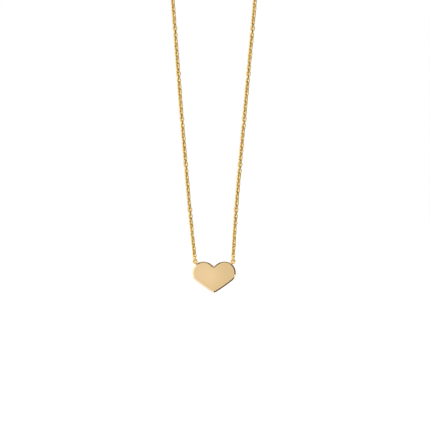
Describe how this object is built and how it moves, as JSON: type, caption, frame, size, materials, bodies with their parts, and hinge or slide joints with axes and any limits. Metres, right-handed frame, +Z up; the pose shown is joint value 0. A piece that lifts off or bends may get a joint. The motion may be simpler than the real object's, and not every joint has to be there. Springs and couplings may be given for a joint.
{
  "type": "pendant necklace",
  "caption": "Flat heart pendant on a fine cable chain, closed at the nape by a spring ring clasp.",
  "frame": {"origin": "middle of the clasp at the nape, on the centre line of the chain, where the necklace hangs from the neck", "axes": "+Z up along the hanging necklace, +X to the right of someone looking at the heart, -Y out of the heart's front face"},
  "size_m": [0.0402, 0.0026, 0.1977],
  "materials": {
    "plate_gold": "satin polished pale yellow gold, bright chamfered rim",
    "chain_gold": "polished yellow gold wire links",
    "ring_gold": "polished yellow gold wire",
    "clasp_gold": "polished yellow gold tube",
    "latch_gold": "yellow gold, brushed along the arc where it slides",
    "spring_steel": "drawn stainless spring wire"
  },
  "bodies": {
    "nape": {"nape_chain_left_1": "chain_gold", "nape_chain_left_2": "chain_gold", "nape_chain_right_1": "chain_gold", "nape_chain_right_2": "chain_gold"},
    "clasp": {"clasp_body": "clasp_gold", "clasp_eye": "ring_gold", "latch_spring": "spring_steel"},
    "latch": {"latch": "latch_gold"},
    "closing_ring": {"closing_ring": "ring_gold"},
    "clasp_jump_ring": {"clasp_jump_ring": "ring_gold"},
    "left_run_01": {"chain_left_01": "chain_gold"},
    "left_run_02": {"chain_left_02": "chain_gold"},
    "left_run_03": {"chain_left_03": "chain_gold"},
    "left_run_04": {"chain_left_04": "chain_gold"},
    "left_run_05": {"chain_left_05": "chain_gold"},
    "left_run_06": {"chain_left_06": "chain_gold"},
    "left_run_07": {"chain_left_07": "chain_gold"},
    "left_run_08": {"chain_left_08": "chain_gold"},
    "left_run_09": {"chain_left_09": "chain_gold"},
    "left_run_10": {"chain_left_10": "chain_gold"},
    "left_run_11": {"chain_left_11": "chain_gold"},
    "left_run_12": {"chain_left_12": "chain_gold"},
    "left_run_13": {"chain_left_13": "chain_gold"},
    "left_end_ring": {"end_ring_left": "ring_gold"},
    "right_run_01": {"chain_right_01": "chain_gold"},
    "right_run_02": {"chain_right_02": "chain_gold"},
    "right_run_03": {"chain_right_03": "chain_gold"},
    "right_run_04": {"chain_right_04": "chain_gold"},
    "right_run_05": {"chain_right_05": "chain_gold"},
    "right_run_06": {"chain_right_06": "chain_gold"},
    "right_run_07": {"chain_right_07": "chain_gold"},
    "right_run_08": {"chain_right_08": "chain_gold"},
    "right_run_09": {"chain_right_09": "chain_gold"},
    "right_run_10": {"chain_right_10": "chain_gold"},
    "right_run_11": {"chain_right_11": "chain_gold"},
    "right_run_12": {"chain_right_12": "chain_gold"},
    "right_run_13": {"chain_right_13": "chain_gold"},
    "right_end_ring": {"end_ring_right": "ring_gold"},
    "heart": {"heart_plate": "plate_gold", "heart_eyelet_left": "ring_gold", "heart_eyelet_right": "ring_gold"}
  },
  "joints": [
    {"name": "left_fold_01", "type": "hinge", "parent": "nape", "child": "left_run_01", "pos_m": [-0.01933, 0, -0.02084], "axis": [1, 0, 0], "range_deg": [-70, 70]},
    {"name": "left_fold_02", "type": "hinge", "parent": "left_run_01", "child": "left_run_02", "pos_m": [-0.01822, 0, -0.03344], "axis": [-1, 0, 0], "range_deg": [-70, 70]},
    {"name": "left_fold_03", "type": "hinge", "parent": "left_run_02", "child": "left_run_03", "pos_m": [-0.01712, 0, -0.04604], "axis": [-1, 0, 0], "range_deg": [-70, 70]},
    {"name": "left_fold_04", "type": "hinge", "parent": "left_run_03", "child": "left_run_04", "pos_m": [-0.01601, 0, -0.05864], "axis": [1, 0, 0], "range_deg": [-70, 70]},
    {"name": "left_fold_05", "type": "hinge", "parent": "left_run_04", "child": "left_run_05", "pos_m": [-0.01494, 0, -0.07124], "axis": [1, 0, 0], "range_deg": [-70, 70]},
    {"name": "left_fold_06", "type": "hinge", "parent": "left_run_05", "child": "left_run_06", "pos_m": [-0.0139, 0, -0.08384], "axis": [-1, 0, 0], "range_deg": [-70, 70]},
    {"name": "left_fold_07", "type": "hinge", "parent": "left_run_06", "child": "left_run_07", "pos_m": [-0.01286, 0, -0.09644], "axis": [-1, 0, 0], "range_deg": [-70, 70]},
    {"name": "left_fold_08", "type": "hinge", "parent": "left_run_07", "child": "left_run_08", "pos_m": [-0.01183, 0, -0.10904], "axis": [1, 0, 0], "range_deg": [-70, 70]},
    {"name": "left_fold_09", "type": "hinge", "parent": "left_run_08", "child": "left_run_09", "pos_m": [-0.01083, 0, -0.12164], "axis": [1, 0, 0], "range_deg": [-70, 70]},
    {"name": "left_fold_10", "type": "hinge", "parent": "left_run_09", "child": "left_run_10", "pos_m": [-0.00987, 0, -0.13424], "axis": [-1, 0, 0], "range_deg": [-70, 70]},
    {"name": "left_fold_11", "type": "hinge", "parent": "left_run_10", "child": "left_run_11", "pos_m": [-0.00888, 0, -0.14684], "axis": [-1, 0, 0], "range_deg": [-70, 70]},
    {"name": "left_fold_12", "type": "hinge", "parent": "left_run_11", "child": "left_run_12", "pos_m": [-0.0078, 0, -0.15944], "axis": [1, 0, 0], "range_deg": [-70, 70]},
    {"name": "left_fold_13", "type": "hinge", "parent": "left_run_12", "child": "left_run_13", "pos_m": [-0.00667, 0, -0.17204], "axis": [1, 0, 0], "range_deg": [-70, 70]},
    {"name": "left_end_ring_turn", "type": "hinge", "parent": "left_run_13", "child": "left_end_ring", "pos_m": [-0.00538, 0, -0.18464], "axis": [-1, 0, 0], "range_deg": [-70, 70]},
    {"name": "right_fold_01", "type": "hinge", "parent": "nape", "child": "right_run_01", "pos_m": [0.01933, 0, -0.02084], "axis": [1, 0, 0], "range_deg": [-70, 70]},
    {"name": "right_fold_02", "type": "hinge", "parent": "right_run_01", "child": "right_run_02", "pos_m": [0.01825, 0, -0.03344], "axis": [-1, 0, 0], "range_deg": [-70, 70]},
    {"name": "right_fold_03", "type": "hinge", "parent": "right_run_02", "child": "right_run_03", "pos_m": [0.01717, 0, -0.04604], "axis": [-1, 0, 0], "range_deg": [-70, 70]},
    {"name": "right_fold_04", "type": "hinge", "parent": "right_run_03", "child": "right_run_04", "pos_m": [0.0161, 0, -0.05864], "axis": [1, 0, 0], "range_deg": [-70, 70]},
    {"name": "right_fold_05", "type": "hinge", "parent": "right_run_04", "child": "right_run_05", "pos_m": [0.01502, 0, -0.07124], "axis": [1, 0, 0], "range_deg": [-70, 70]},
    {"name": "right_fold_06", "type": "hinge", "parent": "right_run_05", "child": "right_run_06", "pos_m": [0.01393, 0, -0.08384], "axis": [-1, 0, 0], "range_deg": [-70, 70]},
    {"name": "right_fold_07", "type": "hinge", "parent": "right_run_06", "child": "right_run_07", "pos_m": [0.01285, 0, -0.09644], "axis": [-1, 0, 0], "range_deg": [-70, 70]},
    {"name": "right_fold_08", "type": "hinge", "parent": "right_run_07", "child": "right_run_08", "pos_m": [0.01177, 0, -0.10904], "axis": [1, 0, 0], "range_deg": [-70, 70]},
    {"name": "right_fold_09", "type": "hinge", "parent": "right_run_08", "child": "right_run_09", "pos_m": [0.01065, 0, -0.12164], "axis": [1, 0, 0], "range_deg": [-70, 70]},
    {"name": "right_fold_10", "type": "hinge", "parent": "right_run_09", "child": "right_run_10", "pos_m": [0.0095, 0, -0.13424], "axis": [-1, 0, 0], "range_deg": [-70, 70]},
    {"name": "right_fold_11", "type": "hinge", "parent": "right_run_10", "child": "right_run_11", "pos_m": [0.00834, 0, -0.14684], "axis": [-1, 0, 0], "range_deg": [-70, 70]},
    {"name": "right_fold_12", "type": "hinge", "parent": "right_run_11", "child": "right_run_12", "pos_m": [0.00719, 0, -0.15944], "axis": [1, 0, 0], "range_deg": [-70, 70]},
    {"name": "right_fold_13", "type": "hinge", "parent": "right_run_12", "child": "right_run_13", "pos_m": [0.00608, 0, -0.17204], "axis": [1, 0, 0], "range_deg": [-70, 70]},
    {"name": "right_end_ring_turn", "type": "hinge", "parent": "right_run_13", "child": "right_end_ring", "pos_m": [0.00531, 0, -0.18464], "axis": [-1, 0, 0], "range_deg": [-70, 70]},
    {"name": "heart_swing", "type": "hinge", "parent": "left_end_ring", "child": "heart", "pos_m": [-0.00527, 0, -0.18508], "axis": [1, 0, 0], "range_deg": [-70, 70]},
    {"name": "clasp_roll", "type": "hinge", "parent": "nape", "child": "clasp", "pos_m": [-0.00075, 0, 0], "axis": [1, 0, 0], "range_deg": [-35, 35]},
    {"name": "closing_ring_roll", "type": "hinge", "parent": "nape", "child": "closing_ring", "pos_m": [-0.00331, 0, 0], "axis": [1, 0, 0], "range_deg": [-30, 30]},
    {"name": "clasp_jump_ring_roll", "type": "hinge", "parent": "nape", "child": "clasp_jump_ring", "pos_m": [0.00369, 0, 0], "axis": [1, 0, 0], "range_deg": [-30, 30]},
    {"name": "latch_pull", "type": "hinge", "parent": "clasp", "child": "latch", "pos_m": [-0.00075, 0, 0], "axis": [0, 1, 0], "range_deg": [0, 52], "stiffness_Nm_per_rad": 0.003, "springref_deg": -11.46, "deforming": ["latch_spring"]}
  ],
  "couplings": [
    {"joint": "right_fold_01", "follows": "left_fold_01", "ratio": 1},
    {"joint": "right_fold_02", "follows": "left_fold_02", "ratio": 1},
    {"joint": "right_fold_03", "follows": "left_fold_03", "ratio": 1},
    {"joint": "right_fold_04", "follows": "left_fold_04", "ratio": 1},
    {"joint": "right_fold_05", "follows": "left_fold_05", "ratio": 1},
    {"joint": "right_fold_06", "follows": "left_fold_06", "ratio": 1},
    {"joint": "right_fold_07", "follows": "left_fold_07", "ratio": 1},
    {"joint": "right_fold_08", "follows": "left_fold_08", "ratio": 1},
    {"joint": "right_fold_09", "follows": "left_fold_09", "ratio": 1},
    {"joint": "right_fold_10", "follows": "left_fold_10", "ratio": 1},
    {"joint": "right_fold_11", "follows": "left_fold_11", "ratio": 1},
    {"joint": "right_fold_12", "follows": "left_fold_12", "ratio": 1},
    {"joint": "right_fold_13", "follows": "left_fold_13", "ratio": 1},
    {"joint": "right_end_ring_turn", "follows": "left_end_ring_turn", "ratio": 1}
  ]
}
